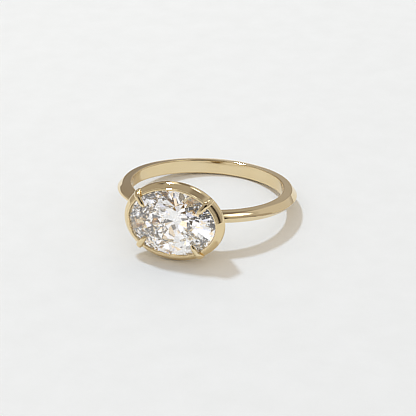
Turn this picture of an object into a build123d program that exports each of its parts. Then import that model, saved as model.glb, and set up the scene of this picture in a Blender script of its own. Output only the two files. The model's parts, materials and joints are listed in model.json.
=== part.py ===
from build123d import *
import os
from math import atan, atan2, cos, degrees, radians, sin

# East-west oval ring, lying on its side. All sizes are in millimetres.
# Row frame: +Z up, the floor at z = 0, the head with its stone towards -Y.
# The ring is drawn in its own frame, with the finger's axis as Z and the head towards -Y,
# and is then tilted to lie on the collar's lowest point and on the back of the shank.

# Shank: inner land, leaning sides and a knife edge around the outside. It's widest at the
# back and tapers towards the head.
FINGER_RADIUS = 8.25
BACK_HALF_WIDTH = 0.82       # at the inner land, furthest from the head
HEAD_HALF_WIDTH = 0.62       # at the inner land, under the head
SIDE_LEAN = 0.08             # how much each side comes in on its way to the shoulder
INNER_ROUNDING = 0.15
SHOULDER_RADIUS = 9.22
EDGE_RADIUS = 9.78
EDGE_FLAT_HALF = 0.05
EDGE_FLAT_DEPTH = 0.03
BLANK_HALF_WIDTH = 1.0       # of the plain ring that the sides are cut from

# Stone: an oval brilliant, long axis across the finger
GIRDLE_LONG = 4.63
GIRDLE_SHORT = 3.41
GIRDLE_HEIGHT = 11.75        # underside of the girdle, from the finger's axis
GIRDLE_THICKNESS = 0.16
CROWN_DEPTH = 0.95
PAVILION_DEPTH = 2.97
TABLE_RATIO = 0.56
STAR_RATIO = 0.775
LOWER_HALF_RATIO = 0.24
MAIN_FACETS = 8
SEAT_GAP = 0.04
SEAT_LEDGE = 0.02            # how far the seat steps in under the girdle

# Cup and collar, as (wall's distance outside the girdle, height from the finger's axis)
COLLAR_WIDEST = (0.83, 10.97)
COLLAR_BEND = (0.76, 11.40)
COLLAR_SLOPE_TOP = (0.30, 11.97)
COLLAR_CREST = (0.17, 12.03)
COLLAR_MOUTH_GAP = 0.10
CUP_BASE_LONG = 3.00
CUP_BASE_SHORT = 1.55
CUP_BASE_HEIGHT = 7.60
CUP_HOLE_LONG = 1.90
CUP_HOLE_SHORT = 0.85
FINGER_SPACE_LENGTH = 6.0    # along the finger, past both sides of the cup's base

# Claws: where each one stands round the girdle, as the ellipse's own angle
CLAW_ANGLES = (42.0, 140.0, 227.0, 308.0)
# One row for each section along a claw: distance outside the girdle, height from the
# finger's axis, half width, half thickness
CLAW_SECTIONS = (
    (0.74, 11.22, 0.36, 0.14),
    (0.66, 11.73, 0.37, 0.17),
    (0.34, 12.16, 0.34, 0.18),
    (-0.12, 12.33, 0.31, 0.17),
    (-0.55, 12.44, 0.27, 0.15),
    (-0.86, 12.47, 0.15, 0.09),
)

# Each side of the shank is a very flat cone, tilted a little for the taper
LEAN = SIDE_LEAN / (SHOULDER_RADIUS - FINGER_RADIUS)
TAPER = (BACK_HALF_WIDTH - HEAD_HALF_WIDTH) / (2 * FINGER_RADIUS)
CONE_HEIGHT = (BACK_HALF_WIDTH + HEAD_HALF_WIDTH) / 2 + LEAN * FINGER_RADIUS
BACK_SHOULDER_HALF_WIDTH = CONE_HEIGHT + (TAPER - LEAN) * SHOULDER_RADIUS

# Resting pose: the line under the collar's lowest point and the shank's back lower corner
CONTACT_HEAD = (-COLLAR_WIDEST[1], -(GIRDLE_SHORT + COLLAR_WIDEST[0]))
CONTACT_SHANK = (SHOULDER_RADIUS, -BACK_SHOULDER_HALF_WIDTH)
REST_TILT = degrees(atan2(CONTACT_SHANK[1] - CONTACT_HEAD[1], CONTACT_SHANK[0] - CONTACT_HEAD[0]))


def oval(long_radius, short_radius, height):
    """An ellipse in the head's frame, where Z is the height from the finger's axis."""
    return Plane.XY.offset(height) * Ellipse(long_radius, short_radius)


def oval_outside_girdle(distance, height):
    return oval(GIRDLE_LONG + distance, GIRDLE_SHORT + distance, height)


def shank_blank():
    """A plain ring with the inner land, the two bevels and the knife edge."""
    edge = EDGE_RADIUS - EDGE_FLAT_DEPTH
    slope = (SHOULDER_RADIUS - edge) / (BACK_SHOULDER_HALF_WIDTH - EDGE_FLAT_HALF)
    bevel_start = edge + slope * (BLANK_HALF_WIDTH - EDGE_FLAT_HALF)

    with BuildPart() as ring:
        with BuildSketch(Plane.XZ):
            with BuildLine():
                Line((FINGER_RADIUS, -BLANK_HALF_WIDTH), (FINGER_RADIUS, BLANK_HALF_WIDTH))
                Line((FINGER_RADIUS, BLANK_HALF_WIDTH), (bevel_start, BLANK_HALF_WIDTH))
                Line((bevel_start, BLANK_HALF_WIDTH), (edge, EDGE_FLAT_HALF))
                ThreePointArc((edge, EDGE_FLAT_HALF), (EDGE_RADIUS, 0), (edge, -EDGE_FLAT_HALF))
                Line((edge, -EDGE_FLAT_HALF), (bevel_start, -BLANK_HALF_WIDTH))
                Line((bevel_start, -BLANK_HALF_WIDTH), (FINGER_RADIUS, -BLANK_HALF_WIDTH))
            make_face()
        revolve(axis=Axis.Z)
    return ring.part


def side_form():
    """Everything under the shank's upper side: a flat cone, higher at the back."""
    reach = EDGE_RADIUS + 1
    floor = -2 * BLANK_HALF_WIDTH
    with BuildPart() as form:
        with BuildSketch(Plane.XZ):
            with BuildLine():
                Polyline(
                    (0, floor),
                    (reach, floor),
                    (reach, CONE_HEIGHT - LEAN * reach),
                    (0, CONE_HEIGHT),
                    close=True,
                )
            make_face()
        revolve(axis=Axis.Z)
    return Rotation(degrees(atan(TAPER)), 0, 0) * form.part


def shank():
    """The band, tapered towards the head and rounded along both inner edges."""
    upper = side_form()
    band = shank_blank() & upper & upper.mirror(Plane.XY)
    inner_edges = []
    for edge in band.edges():
        point = edge @ 0.3
        on_land = abs(Vector(point.X, point.Y, 0).length - FINGER_RADIUS) < 0.001
        if on_land and edge.geom_type != GeomType.LINE:
            inner_edges.append(edge)
    return fillet(inner_edges, INNER_ROUNDING)


def cup_outside():
    """The cup's outer form, from its base up over the collar, in the head's frame."""
    sections = [
        oval(CUP_BASE_LONG, CUP_BASE_SHORT, CUP_BASE_HEIGHT),
        oval_outside_girdle(*COLLAR_WIDEST),
        oval_outside_girdle(*COLLAR_BEND),
        oval_outside_girdle(*COLLAR_SLOPE_TOP),
        oval_outside_girdle(*COLLAR_CREST),
    ]
    return loft(sections, ruled=True)


def cup_inside():
    """The space that the stone sits in, with the hole under it that lets light in."""
    below_girdle = GIRDLE_HEIGHT - SEAT_GAP
    sections = [
        oval(CUP_HOLE_LONG, CUP_HOLE_SHORT, CUP_BASE_HEIGHT),
        oval_outside_girdle(SEAT_GAP - SEAT_LEDGE, below_girdle),
        oval_outside_girdle(SEAT_GAP, GIRDLE_HEIGHT + GIRDLE_THICKNESS),
        oval_outside_girdle(COLLAR_MOUTH_GAP, COLLAR_CREST[1]),
    ]
    return loft(sections, ruled=True)


def stone_clearance():
    """A smooth form that holds the crown with the seat's gap around it."""
    girdle_top = GIRDLE_HEIGHT + GIRDLE_THICKNESS
    table_height = girdle_top + CROWN_DEPTH
    sections = [
        oval_outside_girdle(SEAT_GAP, GIRDLE_HEIGHT),
        oval_outside_girdle(SEAT_GAP, girdle_top),
        oval(GIRDLE_LONG * TABLE_RATIO + SEAT_GAP, GIRDLE_SHORT * TABLE_RATIO + SEAT_GAP, table_height),
    ]
    return loft(sections, ruled=True)


def claw(angle):
    """One claw, lofted through its sections from the collar's side to its tip."""
    across = radians(angle)
    # The claw runs along the girdle's normal at its own point
    normal = Vector(cos(across) / GIRDLE_LONG, sin(across) / GIRDLE_SHORT, 0).normalized()
    side = Vector(-normal.Y, normal.X, 0)
    foot = Vector(GIRDLE_LONG * cos(across), GIRDLE_SHORT * sin(across), 0)
    centres = [foot + normal * row[0] + Vector(0, 0, row[1]) for row in CLAW_SECTIONS]

    sections = []
    for index, row in enumerate(CLAW_SECTIONS):
        before = centres[max(index - 1, 0)]
        after = centres[min(index + 1, len(centres) - 1)]
        plane = Plane(origin=centres[index], x_dir=side, z_dir=after - before)
        sections.append(plane * Ellipse(row[2], row[3]))
    return loft(sections)


def setting():
    """Cup, collar and claws, in the head's frame."""
    metal = cup_outside()
    for angle in CLAW_ANGLES:
        metal = metal + claw(angle)
    return metal - cup_inside() - stone_clearance()


def facet_plane(points):
    """The plane through three points of a round brilliant, stretched to the oval's axes."""
    a, b, c = [Vector(p[0] * GIRDLE_LONG, p[1] * GIRDLE_SHORT, p[2]) for p in points]
    normal = (b - a).cross(c - a).normalized()
    middle = Vector(0, 0, GIRDLE_THICKNESS / 2)
    if normal.dot(a - middle) < 0:
        normal = normal * -1
    return Plane(origin=a, z_dir=normal)


def ring_point(radius, step, height):
    """A point of the round brilliant, where a step is half a main facet's turn."""
    angle = radians(step * 180.0 / MAIN_FACETS)
    return (radius * cos(angle), radius * sin(angle), height)


def oval_stone():
    """The stone, cut facet by facet from an oval blank whose girdle's underside is at zero."""
    girdle_top = GIRDLE_THICKNESS
    table = girdle_top + CROWN_DEPTH
    blank = Plane.XY.offset(-PAVILION_DEPTH) * Ellipse(GIRDLE_LONG, GIRDLE_SHORT)
    stone = extrude(blank, amount=PAVILION_DEPTH + table)

    half_turn = cos(radians(180.0 / MAIN_FACETS))
    star_height = girdle_top + CROWN_DEPTH * (1 - STAR_RATIO * half_turn) / (1 - TABLE_RATIO)
    lower_height = -PAVILION_DEPTH * (1 - LOWER_HALF_RATIO * half_turn)
    culet = (0, 0, -PAVILION_DEPTH)

    planes = []
    for main in range(0, 2 * MAIN_FACETS, 2):
        corner = ring_point(TABLE_RATIO, main, table)
        next_corner = ring_point(TABLE_RATIO, main + 2, table)
        star = ring_point(STAR_RATIO, main + 1, star_height)
        last_star = ring_point(STAR_RATIO, main - 1, star_height)
        lower = ring_point(LOWER_HALF_RATIO, main + 1, lower_height)
        last_lower = ring_point(LOWER_HALF_RATIO, main - 1, lower_height)
        planes.append((corner, last_star, star))
        planes.append((corner, next_corner, star))
        planes.append((culet, last_lower, lower))
        for step in (main, main + 1):
            planes.append((star, ring_point(1, step, girdle_top), ring_point(1, step + 1, girdle_top)))
            planes.append((lower, ring_point(1, step, 0), ring_point(1, step + 1, 0)))
    for points in planes:
        stone = split(stone, bisect_by=facet_plane(points), keep=Keep.BOTTOM)
    return stone


def rest(piece):
    """Tilts a piece of the ring's own frame into the pose in which the ring lies."""
    return Rotation(-REST_TILT, 0, 0) * piece


def stand_up(piece):
    """Turns a piece from the head's frame to the ring's own frame."""
    return Rotation(90, 0, 0) * piece


finger_space = Cylinder(FINGER_RADIUS, FINGER_SPACE_LENGTH)
head = stand_up(setting()) - finger_space
band = shank() - stand_up(cup_inside())
ring_mount = rest(band + head)
stone = rest(stand_up(Pos(0, 0, GIRDLE_HEIGHT) * oval_stone()))

# The floor is under the lowest point, and the origin is under the middle of the part
box = Compound(children=[ring_mount, stone]).bounding_box()
to_origin = Pos(-box.center().X, -box.center().Y, -box.min.Z)
nodes = {
    "ring_mount": (to_origin * ring_mount).solid(),
    "oval_stone": (to_origin * stone).solid(),
}

os.makedirs("parts", exist_ok=True)
for name, shape in nodes.items():
    export_step(shape, f"parts/{name}.step")

axis_point = to_origin * Vertex(0, 0, 0)
print("rest tilt", round(REST_TILT, 3), "finger axis passes", axis_point.center())
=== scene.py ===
import json
from math import cos, pi, radians, sin

import bmesh
import bpy
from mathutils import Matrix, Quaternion, Vector


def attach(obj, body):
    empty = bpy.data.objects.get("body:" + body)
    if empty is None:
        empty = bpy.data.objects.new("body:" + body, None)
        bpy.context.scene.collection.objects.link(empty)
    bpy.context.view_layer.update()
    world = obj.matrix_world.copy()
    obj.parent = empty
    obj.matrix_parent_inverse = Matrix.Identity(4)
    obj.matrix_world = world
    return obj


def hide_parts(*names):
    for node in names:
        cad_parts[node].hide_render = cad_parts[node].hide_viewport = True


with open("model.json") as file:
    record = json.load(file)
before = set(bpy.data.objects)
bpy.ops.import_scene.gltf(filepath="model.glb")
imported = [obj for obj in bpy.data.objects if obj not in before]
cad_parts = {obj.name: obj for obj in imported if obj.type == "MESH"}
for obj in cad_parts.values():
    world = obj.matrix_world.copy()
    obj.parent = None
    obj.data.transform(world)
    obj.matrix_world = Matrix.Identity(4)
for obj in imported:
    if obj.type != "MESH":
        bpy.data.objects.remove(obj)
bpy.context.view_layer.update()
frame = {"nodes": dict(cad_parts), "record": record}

# East-west oval ring lying on its side on a pale floor. Lengths in the tables are in
# millimetres in the ring's own frame: Z along the finger, the head towards -Y.
MM = 0.001

# Band: inner land, leaning sides and a knife edge, widest at the back
FINGER_RADIUS = 8.25
BACK_HALF_WIDTH = 0.82
HEAD_HALF_WIDTH = 0.62
SIDE_LEAN = 0.08
INNER_ROUNDING = 0.15
SHOULDER_RADIUS = 9.22
EDGE_RADIUS = 9.78
SHOULDER_ROUNDING = 0.08
BEVEL_ROUNDING = 0.05
EDGE_ROUNDING = 0.03
# Where the band runs into the head, its upper shoulder is rounder and its upper bevel swells
# out over the knife edge
HEAD_SHOULDER_ROUNDING = 0.30
HEAD_EDGE_ROUNDING = 0.015
SWELL_HALF_WIDTH = 0.25
SWELL_ROUNDING = 0.21
MORPH_START = radians(80)        # from the head, where the plain section ends
MORPH_END = radians(42)          # from the head, where the head's section is reached
FINGER_SPACE_HALF_LENGTH = 3.0

# Stone's girdle and crown
GIRDLE_LONG = 4.63
GIRDLE_SHORT = 3.41
GIRDLE_HEIGHT = 11.75
GIRDLE_TOP = GIRDLE_HEIGHT + 0.16
CROWN_DEPTH = 0.95
TABLE_RATIO = 0.56

# Cup, as (long radius, short radius, height from the finger's axis), and then its seat and
# collar, as (distance outside the girdle, height)
CUP_BASE = (3.00, 1.55, 7.60)
CUP_HOLE = (1.90, 0.85, 7.60)
SEAT_GAP = 0.04
SEAT_LEDGE = 0.02
SEAT_FLOOR = (SEAT_GAP - SEAT_LEDGE, GIRDLE_HEIGHT - SEAT_GAP)
SEAT_TOP = (SEAT_GAP, GIRDLE_TOP)
COLLAR_WIDEST = (0.83, 10.97)
COLLAR_BEND = (0.76, 11.40)
COLLAR_ROUNDING = 0.16
# A bright-cut line sets the lip off from the slope
COLLAR_SLOPE_TOP = (0.31, 11.96)
LIP_GROOVE = (0.27, 11.955)
GROOVE_ROUNDING = 0.02
LIP_TOP = (0.22, 12.05)
LIP_ROUNDING = 0.05
COLLAR_MOUTH = (0.10, 12.03)

# Claws: the ellipse's own angle of each, and one row for each section along a claw:
# distance outside the girdle, height, half width, half thickness
CLAW_ANGLES = (42.0, 140.0, 227.0, 308.0)
CLAW_SECTIONS = (
    (0.74, 11.22, 0.33, 0.18),
    (0.66, 11.73, 0.34, 0.21),
    (0.34, 12.16, 0.32, 0.23),
    (-0.12, 12.33, 0.29, 0.22),
    (-0.55, 12.44, 0.26, 0.20),
    (-0.84, 12.46, 0.18, 0.14),
)
CLAW_TIP_ROUNDING = 0.13

BAND_SECTIONS = 480
OVAL_STEPS = 360
CLAW_SIDES = 32
CLAW_STEPS = 8                   # between two rows of the table
CORNER_STEPS = 6                 # along each rounded corner
SHARP_ANGLE = radians(32)

# Materials. A noise is given as cells a metre and detail.
NOISE_SPAN = (0.3, 0.7)          # where noise mostly lies
GOLD_PALE = (0.86, 0.71, 0.45)
GOLD_DEEP = (0.83, 0.67, 0.40)
GOLD_TONE_NOISE = (260, 2)
GOLD_ROUGHNESS = (0.05, 0.09)
HAIRLINE_NOISE = (3500, 3)
HAIRLINE_STRETCH = (1, 1, 9)
GOLD_WAVE_NOISE = (420, 1)
GOLD_WAVE_DEPTH = 0.000004
STONE_IOR = 2.417
# Painted glow: the stone, which is no lamp, gives off a faint light of this strength and tint
STONE_GLOW = 0.011
STONE_GLOW_TINT = (1, 0.97, 0.95)
PAPER = (0.872, 0.872, 0.868)
PAPER_SHADED = (0.848, 0.848, 0.842)
PAPER_MOTTLE_NOISE = (300, 5)
PAPER_GRAIN_NOISE = (900, 5)
PAPER_GRAIN_DEPTH = 0.00004
PAPER_ROUGHNESS = 0.9
# Painted shade: the paper darkens towards the board's near right side, standing in for the light falling
# off there
PAINTED_SHADE_DIRECTION = (0.88, -0.47, 0)
PAINTED_SHADE_REACH = 0.05
PAINTED_SHADE_TONE = (0.93, 0.93, 0.935)
FLOOR_SIZE = 0.6

# Camera. Azimuths are in degrees from +X, anticlockwise, here and below.
CAMERA_DISTANCE = 0.180
CAMERA_AZIMUTH = -71.97
CAMERA_ELEVATION = 27.82
CAMERA_ROLL = radians(-0.24)
PICTURE_SIZE = 416
FOCAL_PIXELS = 1652.8
CENTRE_PIXEL = (207.3, 189.6)    # where the ring's centre shows in the picture
SENSOR = 36.0
CLIP_START = 0.01

# Light
KEY_AZIMUTH = 148
KEY_ELEVATION = 63
KEY_SPREAD = 7
KEY_STRENGTH = 1.12
KEY_COLOUR = (0.80, 0.99, 1.22)
SHADOW_LIGHT = (0.79, 0.735, 0.655)      # what the studio adds to the floor, also in shadow

# The studio as the gold sees it: a plain grey room with soft panels, each with its azimuth,
# elevation, half width and half height, edge softness (all in degrees) and brightness.
# A later panel covers an earlier one.
ROOM = 0.47
DARK_WARMTH = (1.0, 1.08, 1.14)          # powers of the brightness, for red, green and blue
PANELS = {
    "front_low": (-130, 8, 34, 12, 8, 0.64),
    "front_flag": (-138, 34, 14, 6, 6, 0.24),
    "left_top": (168, 58, 14, 26, 8, 0.46),
    "right_top": (6, 54, 26, 14, 8, 0.56),
    "top_flag": (-13, 74, 10, 11, 6, 0.32),
    "right_wall": (60, 26, 34, 22, 8, 0.67),
    "right_flag": (85, 10, 8, 15, 6, 0.36),
    "back_wall": (128, 15, 20, 15, 6, 0.34),
    "back_flag": (101, 44, 7, 17, 5, 0.28),
    "back_strip_low": (111, 30, 3, 9, 3, 1.0),
    "back_strip_high": (118, 47, 4, 10, 3, 1.3),
    "back_strip_top": (138, 64, 11, 4, 3, 1.1),
    "top_line": (150, 54, 9, 5, 4, 0.08),
    "side_flag": (-8, 20, 1.4, 27, 1.0, 0.01),
    "strip_far": (57, 66, 6, 4.5, 4, 2.0),
    "strip_near": (73, 57, 7, 5.5, 4, 2.4),
    "camera": (CAMERA_AZIMUTH, CAMERA_ELEVATION, 26, 23, 6, 0.01),
}

# The studio as the stone sees it: small cards all round, by the share of cards that are
# darker than each row, with the row's brightness and then its tint
CARD_SCALE = 60
CARD_LEVELS = ((0.0, 0.14), (0.13, 0.76), (0.44, 0.98), (0.76, 1.35))
CARD_TINTS = (
    (0.0, (1.0, 0.98, 0.97)),
    (0.40, (1.0, 0.80, 0.55)),
    (0.66, (0.86, 0.87, 1.0)),
    (0.86, (1.0, 0.99, 0.98)),
)

# Picture
PICTURE_GAMMA = 2.2
PICTURE_SHARPENING = 0.09
LIGHT_BOUNCES = 32
GLOSSY_BOUNCES = 12

# The ring's frame in the row's frame, from the finger bore
bore = frame["record"]["mounts"][0]
ring_axis = Vector(bore["axis"]).normalized()
ring_centre = Vector(bore["pos_m"])
ring_across = Vector((1, 0, 0))
ring_back = ring_axis.cross(ring_across)


def ring_point(x, y, z):
    """A point of the ring's own frame, in millimetres, as a point of the row's frame."""
    return ring_centre + (ring_across * x + ring_back * y + ring_axis * z) * MM


def head_point(x, y, height):
    """A point of the head's frame: height runs from the finger's axis out to the stone."""
    return ring_point(x, -height, y)


def direction(azimuth, elevation):
    azimuth, elevation = radians(azimuth), radians(elevation)
    return Vector((cos(elevation) * cos(azimuth), cos(elevation) * sin(azimuth), sin(elevation)))


def smooth_step(value):
    value = min(max(value, 0.0), 1.0)
    return value * value * (3 - 2 * value)


def mix(a, b, share):
    return a + (b - a) * share


def full_turn(count):
    """Angles evenly spaced round a full turn."""
    return [2 * pi * step / count for step in range(count)]


def rounded_loop(corners):
    """Points round a polygon whose corners are (point, rounding), each replaced by a curve."""
    points = []
    for index, (corner, rounding) in enumerate(corners):
        corner = Vector(corner)
        if rounding == 0:
            points.append(corner)
            continue
        before = Vector(corners[index - 1][0]) - corner
        after = Vector(corners[(index + 1) % len(corners)][0]) - corner
        start = corner + before.normalized() * rounding
        end = corner + after.normalized() * rounding
        for step in range(CORNER_STEPS + 1):
            share = step / CORNER_STEPS
            first = start.lerp(corner, share)
            second = corner.lerp(end, share)
            points.append(first.lerp(second, share))
    return points


def add_object(name, data):
    new_object = bpy.data.objects.new(name, data)
    bpy.context.scene.collection.objects.link(new_object)
    return new_object


def skin(name, loops, close_around=True):
    """A closed mesh over loops of points, joined to the first loop again or capped."""
    mesh = bmesh.new()
    rows = [[mesh.verts.new(point) for point in loop] for loop in loops]
    size = len(rows[0])
    spans = len(rows) if close_around else len(rows) - 1
    for row in range(spans):
        next_row = (row + 1) % len(rows)
        for column in range(size):
            next_column = (column + 1) % size
            mesh.faces.new((rows[row][column], rows[row][next_column],
                            rows[next_row][next_column], rows[next_row][column]))
    if not close_around:
        mesh.faces.new(reversed(rows[0]))
        mesh.faces.new(rows[-1])
    bmesh.ops.recalc_face_normals(mesh, faces=mesh.faces)
    data = bpy.data.meshes.new(name)
    mesh.to_mesh(data)
    mesh.free()
    return add_object(name, data)


def band_section(turn):
    """The band's section as (radius, height) points, at a turn away from the head."""
    to_head = smooth_step((MORPH_START - turn) / (MORPH_START - MORPH_END))
    half_width = mix(BACK_HALF_WIDTH, HEAD_HALF_WIDTH, (1 + cos(turn)) / 2)
    shoulder = half_width - SIDE_LEAN
    flat = ((SHOULDER_RADIUS + EDGE_RADIUS) / 2, shoulder / 2)
    swell = [mix(a, b, to_head) for a, b in zip(flat, (EDGE_RADIUS, SWELL_HALF_WIDTH))]
    upper_rounding = mix(SHOULDER_ROUNDING, HEAD_SHOULDER_ROUNDING, to_head)
    return rounded_loop((
        ((FINGER_RADIUS, -half_width), INNER_ROUNDING),
        ((SHOULDER_RADIUS, -shoulder), SHOULDER_ROUNDING),
        ((EDGE_RADIUS, 0), mix(EDGE_ROUNDING, HEAD_EDGE_ROUNDING, to_head)),
        (swell, mix(BEVEL_ROUNDING, SWELL_ROUNDING, to_head)),
        ((SHOULDER_RADIUS, shoulder), upper_rounding),
        ((FINGER_RADIUS, half_width), INNER_ROUNDING),
    ))


def make_band():
    loops = []
    for turn in full_turn(BAND_SECTIONS):
        section = band_section(min(turn, 2 * pi - turn))
        loops.append([ring_point(r * sin(turn), -r * cos(turn), h) for r, h in section])
    return skin("band_blank", loops)


def girdle_row(row):
    """An oval as (long radius, short radius, height) from its distance outside the girdle."""
    distance, height = row
    return (GIRDLE_LONG + distance, GIRDLE_SHORT + distance, height)


def oval_skin(name, profile, close_around):
    """A skin through ovals: profile holds (long radius, short radius, height) points."""
    turns = full_turn(OVAL_STEPS)
    loops = [[head_point(a * cos(turn), b * sin(turn), h) for turn in turns] for a, b, h in profile]
    return skin(name, loops, close_around)


def make_cup():
    profile = rounded_loop((
        (CUP_BASE, 0),
        (girdle_row(COLLAR_WIDEST), COLLAR_ROUNDING),
        (girdle_row(COLLAR_BEND), COLLAR_ROUNDING),
        (girdle_row(COLLAR_SLOPE_TOP), GROOVE_ROUNDING),
        (girdle_row(LIP_GROOVE), GROOVE_ROUNDING),
        (girdle_row(LIP_TOP), LIP_ROUNDING),
        (girdle_row(COLLAR_MOUTH), 0),
        (girdle_row(SEAT_TOP), 0),
        (girdle_row(SEAT_FLOOR), 0),
        (CUP_HOLE, 0),
    ))
    return oval_skin("cup_blank", profile, True)


def make_cup_space():
    """The space inside the cup, which the band doesn't cross."""
    profile = (CUP_HOLE, girdle_row(SEAT_FLOOR), girdle_row(SEAT_TOP), girdle_row(COLLAR_MOUTH))
    return oval_skin("cup_space", profile, False)


def make_stone_space():
    """The stone's crown and girdle with the seat's gap around them, cut out of the claws."""
    table_long = GIRDLE_LONG * TABLE_RATIO + SEAT_GAP
    table_short = GIRDLE_SHORT * TABLE_RATIO + SEAT_GAP
    profile = (
        girdle_row((SEAT_GAP, GIRDLE_HEIGHT)),
        girdle_row(SEAT_TOP),
        (table_long, table_short, GIRDLE_TOP + CROWN_DEPTH),
    )
    return oval_skin("stone_space", profile, False)


def make_finger_space():
    turns = full_turn(BAND_SECTIONS)
    ends = (-FINGER_SPACE_HALF_LENGTH, FINGER_SPACE_HALF_LENGTH)
    loops = [[ring_point(FINGER_RADIUS * sin(t), -FINGER_RADIUS * cos(t), z) for t in turns] for z in ends]
    return skin("finger_space", loops, False)


def spline_rows(rows, steps):
    """More rows between the rows of a table, on a Catmull-Rom curve through them."""
    rows = [Vector(row) for row in rows]
    out = []
    for index in range(len(rows) - 1):
        p1, p2 = rows[index], rows[index + 1]
        p0 = rows[index - 1] if index > 0 else p1 * 2 - p2
        p3 = rows[index + 2] if index + 2 < len(rows) else p2 * 2 - p1
        for step in range(steps):
            t = step / steps
            out.append(0.5 * (2 * p1 + (p2 - p0) * t + (2 * p0 - 5 * p1 + 4 * p2 - p3) * t ** 2
                              + (3 * p1 - p0 - 3 * p2 + p3) * t ** 3))
    out.append(rows[-1])
    return out


def make_claw(index, angle):
    across = radians(angle)
    normal = Vector((cos(across) / GIRDLE_LONG, sin(across) / GIRDLE_SHORT, 0)).normalized()
    side = Vector((-normal.y, normal.x, 0))
    foot = Vector((GIRDLE_LONG * cos(across), GIRDLE_SHORT * sin(across), 0))
    rows = spline_rows(CLAW_SECTIONS, CLAW_STEPS)
    centres = [foot + normal * row[0] + Vector((0, 0, row[1])) for row in rows]
    sections = [(centre, row[2], row[3]) for centre, row in zip(centres, rows)]
    # The tip is a small dome past the last row
    last_centre, last_width, last_thickness = sections[-1]
    ahead = (centres[-1] - centres[-2]).normalized()
    for step in range(1, CORNER_STEPS):
        turn = pi / 2 * step / CORNER_STEPS
        sections.append((last_centre + ahead * CLAW_TIP_ROUNDING * sin(turn),
                         last_width * cos(turn), last_thickness * cos(turn)))
    loops = []
    for place, (centre, width, thickness) in enumerate(sections):
        before = sections[max(place - 1, 0)][0]
        after = sections[min(place + 1, len(sections) - 1)][0]
        up = side.cross(after - before).normalized()
        points = [centre + side * width * cos(t) + up * thickness * sin(t) for t in full_turn(CLAW_SIDES)]
        loops.append([head_point(*point) for point in points])
    return skin(f"claw_blank_{index}", loops, False)


def combine(base, others, operation):
    """Unites the others with the base or cuts them from it, and deletes them."""
    for other in others:
        step = base.modifiers.new(other.name, "BOOLEAN")
        step.operation = operation
        step.solver = "MANIFOLD"
        step.object = other
    graph = bpy.context.evaluated_depsgraph_get()
    data = bpy.data.meshes.new_from_object(base.evaluated_get(graph))
    old = base.data
    base.modifiers.clear()
    base.data = data
    bpy.data.meshes.remove(old)
    for other in others:
        bpy.data.objects.remove(other)
    return base


def make_ring_metal():
    metal = make_cup()
    combine(metal, [make_claw(i, angle) for i, angle in enumerate(CLAW_ANGLES)], "UNION")
    combine(metal, [make_stone_space(), make_finger_space()], "DIFFERENCE")
    band = combine(make_band(), [make_cup_space()], "DIFFERENCE")
    combine(metal, [band], "UNION")
    metal.name = "ring_metal"
    metal.data.name = "ring_metal"
    metal.data.shade_smooth()
    metal.data.set_sharp_from_angle(angle=SHARP_ANGLE)
    return metal


def feed(tree, socket, value):
    """Gives a socket another node's output, a colour or a number."""
    if isinstance(value, bpy.types.NodeSocket):
        tree.links.new(value, socket)
    elif isinstance(value, tuple):
        socket.default_value = (*value, 1)
    else:
        socket.default_value = value


def math_node(tree, operation, *values):
    node = tree.nodes.new("ShaderNodeMath")
    node.operation = operation
    for socket, value in zip(node.inputs, values):
        feed(tree, socket, value)
    return node.outputs[0]


def dot_node(tree, vector, constant):
    node = tree.nodes.new("ShaderNodeVectorMath")
    node.operation = "DOT_PRODUCT"
    tree.links.new(vector, node.inputs[0])
    node.inputs[1].default_value = constant
    return node.outputs["Value"]


def blend_node(tree, share, first, second, kind="MIX"):
    """Blends two colours, each a constant or another node's output."""
    node = tree.nodes.new("ShaderNodeMix")
    node.data_type = "RGBA"
    node.blend_type = kind
    feed(tree, node.inputs["Factor"], share)
    feed(tree, node.inputs["A"], first)
    feed(tree, node.inputs["B"], second)
    return node.outputs["Result"]


def steps_node(tree, value, rows):
    """A stepped scale of colours: each row holds where it starts and its colour."""
    node = tree.nodes.new("ShaderNodeValToRGB")
    node.color_ramp.interpolation = "CONSTANT"
    tree.links.new(value, node.inputs["Fac"])
    elements = node.color_ramp.elements
    while len(elements) < len(rows):
        elements.new(1.0)
    for element, (start, colour) in zip(elements, rows):
        element.position = start
        element.color = (*colour, 1)
    return node.outputs["Color"]


def range_node(tree, value, start, end, low=0.0, high=1.0, interpolation="LINEAR"):
    """Spreads what lies between start and end over low to high."""
    node = tree.nodes.new("ShaderNodeMapRange")
    node.interpolation_type = interpolation
    tree.links.new(value, node.inputs["Value"])
    node.inputs["From Min"].default_value = start
    node.inputs["From Max"].default_value = end
    node.inputs["To Min"].default_value = low
    node.inputs["To Max"].default_value = high
    return node.outputs["Result"]


def noise_node(tree, scale, detail, stretch=(1, 1, 1)):
    """Noise over the object's own coordinates, in cells of about 1 / scale metres."""
    place = tree.nodes.new("ShaderNodeTexCoord").outputs["Object"]
    mapping = tree.nodes.new("ShaderNodeMapping")
    mapping.inputs["Scale"].default_value = stretch
    noise = tree.nodes.new("ShaderNodeTexNoise")
    noise.inputs["Scale"].default_value = scale
    noise.inputs["Detail"].default_value = detail
    tree.links.new(place, mapping.inputs["Vector"])
    tree.links.new(mapping.outputs["Vector"], noise.inputs["Vector"])
    return noise.outputs["Fac"]


def bump_node(tree, shader, height, distance):
    node = tree.nodes.new("ShaderNodeBump")
    node.inputs["Distance"].default_value = distance
    tree.links.new(height, node.inputs["Height"])
    tree.links.new(node.outputs["Normal"], shader.inputs["Normal"])


def new_material(name):
    material = bpy.data.materials.new(name)
    material.use_nodes = True
    tree = material.node_tree
    return material, tree, tree.nodes["Principled BSDF"]


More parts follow.
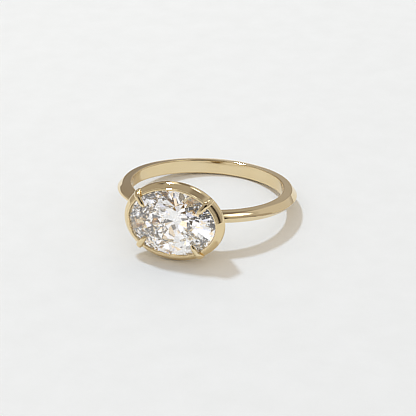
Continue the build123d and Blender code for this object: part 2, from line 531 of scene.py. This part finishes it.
def gold_material():
    """Polished pale yellow gold: slow waves left by hand polishing, and fine dull hairlines."""
    material, tree, shader = new_material("gold")
    tone = range_node(tree, noise_node(tree, *GOLD_TONE_NOISE), *NOISE_SPAN)
    tree.links.new(blend_node(tree, tone, GOLD_DEEP, GOLD_PALE), shader.inputs["Base Color"])
    shader.inputs["Metallic"].default_value = 1.0
    hairlines = noise_node(tree, *HAIRLINE_NOISE, HAIRLINE_STRETCH)
    roughness = range_node(tree, hairlines, *NOISE_SPAN, *GOLD_ROUGHNESS)
    tree.links.new(roughness, shader.inputs["Roughness"])
    bump_node(tree, shader, noise_node(tree, *GOLD_WAVE_NOISE), GOLD_WAVE_DEPTH)
    return material


def stone_material():
    material, tree, shader = new_material("stone")
    shader.inputs["Base Color"].default_value = (1, 1, 1, 1)
    shader.inputs["Roughness"].default_value = 0.0
    shader.inputs["IOR"].default_value = STONE_IOR
    shader.inputs["Transmission Weight"].default_value = 1.0
    # Painted glow: the stone gives off a trace of light at each face, which lifts the paths that end
    # inside the cup
    shader.inputs["Emission Color"].default_value = (*STONE_GLOW_TINT, 1)
    shader.inputs["Emission Strength"].default_value = STONE_GLOW
    return material


def floor_material():
    """Matt white paper board with a faint mottle, a soft grain and painted shade towards its near right
    side.
    """
    material, tree, shader = new_material("floor_paper")
    mottle = range_node(tree, noise_node(tree, *PAPER_MOTTLE_NOISE), *NOISE_SPAN)
    paper = blend_node(tree, mottle, PAPER_SHADED, PAPER)
    # Painted shade: the board is a little greyer towards its near right side, where the light falls off
    place = tree.nodes.new("ShaderNodeTexCoord").outputs["Object"]
    along = dot_node(tree, place, PAINTED_SHADE_DIRECTION)
    share = range_node(tree, along, -PAINTED_SHADE_REACH, PAINTED_SHADE_REACH)
    shade = blend_node(tree, share, (1, 1, 1), PAINTED_SHADE_TONE)
    tree.links.new(blend_node(tree, 1.0, paper, shade, "MULTIPLY"), shader.inputs["Base Color"])
    shader.inputs["Roughness"].default_value = PAPER_ROUGHNESS
    bump_node(tree, shader, noise_node(tree, *PAPER_GRAIN_NOISE), PAPER_GRAIN_DEPTH)
    return material


def make_floor():
    half = FLOOR_SIZE / 2
    corners = [(-half, -half, 0), (half, -half, 0), (half, half, 0), (-half, half, 0)]
    data = bpy.data.meshes.new("floor")
    data.from_pydata(corners, [], [(0, 1, 2, 3)])
    data.materials.append(floor_material())
    return add_object("floor", data)


def make_camera():
    to_camera = direction(CAMERA_AZIMUTH, CAMERA_ELEVATION)
    level_view = to_camera.to_track_quat("Z", "Y")
    data = bpy.data.cameras.new("camera")
    data.sensor_width = SENSOR
    data.sensor_fit = "HORIZONTAL"
    data.lens = FOCAL_PIXELS / PICTURE_SIZE * SENSOR
    data.shift_x = (PICTURE_SIZE / 2 - CENTRE_PIXEL[0]) / PICTURE_SIZE
    data.shift_y = (CENTRE_PIXEL[1] - PICTURE_SIZE / 2) / PICTURE_SIZE
    data.clip_start = CLIP_START
    camera = add_object("camera", data)
    camera.location = ring_centre + to_camera * CAMERA_DISTANCE
    camera.rotation_euler = (level_view @ Quaternion((0, 0, 1), CAMERA_ROLL)).to_euler()
    return camera


def make_key():
    data = bpy.data.lights.new("key", "SUN")
    data.angle = radians(KEY_SPREAD)
    data.energy = KEY_STRENGTH
    data.color = KEY_COLOUR
    key = add_object("key", data)
    key.rotation_euler = direction(KEY_AZIMUTH, KEY_ELEVATION).to_track_quat("Z", "Y").to_euler()


def panel_share(tree, ray, azimuth, elevation, half_width, half_height, softness):
    """How far a ray's direction lies in a panel's rectangle, from 0 to 1."""
    ahead = direction(azimuth, elevation)
    side = direction(azimuth + 90, 0)
    upward = ahead.cross(side)
    depth = dot_node(tree, ray, ahead)
    shares = []
    for axis, half_angle in ((side, half_width), (upward, half_height)):
        offset = math_node(tree, "ABSOLUTE", dot_node(tree, ray, axis))
        angle = math_node(tree, "ARCTAN2", offset, depth)
        inner = radians(half_angle - softness / 2)
        outer = radians(half_angle + softness / 2)
        shares.append(range_node(tree, angle, inner, outer, 1.0, 0.0, "SMOOTHSTEP"))
    return math_node(tree, "MULTIPLY", *shares)


def panel_light(tree, ray):
    level = ROOM
    for *place, brightness in PANELS.values():
        share = panel_share(tree, ray, *place)
        change = math_node(tree, "SUBTRACT", brightness, level)
        level = math_node(tree, "MULTIPLY_ADD", change, share, level)
    # The studio's darker parts are a little warmer
    warm = tree.nodes.new("ShaderNodeCombineColor")
    for channel, power in zip(("Red", "Green", "Blue"), DARK_WARMTH):
        tree.links.new(math_node(tree, "POWER", level, power), warm.inputs[channel])
    return warm.outputs["Color"]


def card_light(tree, ray):
    cards = tree.nodes.new("ShaderNodeTexVoronoi")
    cards.inputs["Scale"].default_value = CARD_SCALE
    tree.links.new(ray, cards.inputs["Vector"])
    chance = tree.nodes.new("ShaderNodeSeparateColor")
    tree.links.new(cards.outputs["Color"], chance.inputs["Color"])
    greys = [(start, (value, value, value)) for start, value in CARD_LEVELS]
    level = steps_node(tree, chance.outputs["Red"], greys)
    tint = steps_node(tree, chance.outputs["Green"], CARD_TINTS)
    return blend_node(tree, 1.0, level, tint, "MULTIPLY")


def make_world():
    world = bpy.data.worlds.new("studio")
    bpy.context.scene.world = world
    world.use_nodes = True
    tree = world.node_tree
    ray = tree.nodes.new("ShaderNodeTexCoord").outputs["Generated"]
    path = tree.nodes.new("ShaderNodeLightPath")
    in_stone = path.outputs["Is Transmission Ray"]
    light = blend_node(tree, in_stone, panel_light(tree, ray), card_light(tree, ray))
    light = blend_node(tree, path.outputs["Diffuse Depth"], light, SHADOW_LIGHT)
    tree.links.new(light, tree.nodes["Background"].inputs["Color"])


def sharpen_picture():
    """A light sharpening of the finished picture, as the photo has."""
    scene = bpy.context.scene
    scene.use_nodes = True
    tree = scene.node_tree
    tree.nodes.clear()
    layers = tree.nodes.new("CompositorNodeRLayers")
    # Highlights are held to white first, or they would get dark rims
    clip = tree.nodes.new("CompositorNodeMixRGB")
    clip.use_clamp = True
    clip.inputs["Fac"].default_value = 0.0
    encode = tree.nodes.new("CompositorNodeGamma")
    encode.inputs["Gamma"].default_value = 1 / PICTURE_GAMMA
    sharpen = tree.nodes.new("CompositorNodeFilter")
    sharpen.filter_type = "SHARPEN"
    sharpen.inputs["Fac"].default_value = PICTURE_SHARPENING
    decode = tree.nodes.new("CompositorNodeGamma")
    decode.inputs["Gamma"].default_value = PICTURE_GAMMA
    output = tree.nodes.new("CompositorNodeComposite")
    tree.links.new(layers.outputs["Image"], clip.inputs[1])
    tree.links.new(clip.outputs["Image"], encode.inputs["Image"])
    tree.links.new(encode.outputs["Image"], sharpen.inputs["Image"])
    tree.links.new(sharpen.outputs["Image"], decode.inputs["Image"])
    tree.links.new(decode.outputs["Image"], output.inputs["Image"])


ring_metal = make_ring_metal()
ring_metal.data.materials.clear()
ring_metal.data.materials.append(gold_material())
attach(ring_metal, "root")
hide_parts("ring_mount")
oval_stone = frame["nodes"]["oval_stone"]
oval_stone.material_slots[0].material = stone_material()

floor = make_floor()
bpy.context.scene.camera = make_camera()
make_key()
make_world()
sharpen_picture()
bpy.context.scene.view_settings.view_transform = "Standard"
bpy.context.scene.cycles.max_bounces = LIGHT_BOUNCES
bpy.context.scene.cycles.transmission_bounces = LIGHT_BOUNCES
bpy.context.scene.cycles.glossy_bounces = GLOSSY_BOUNCES
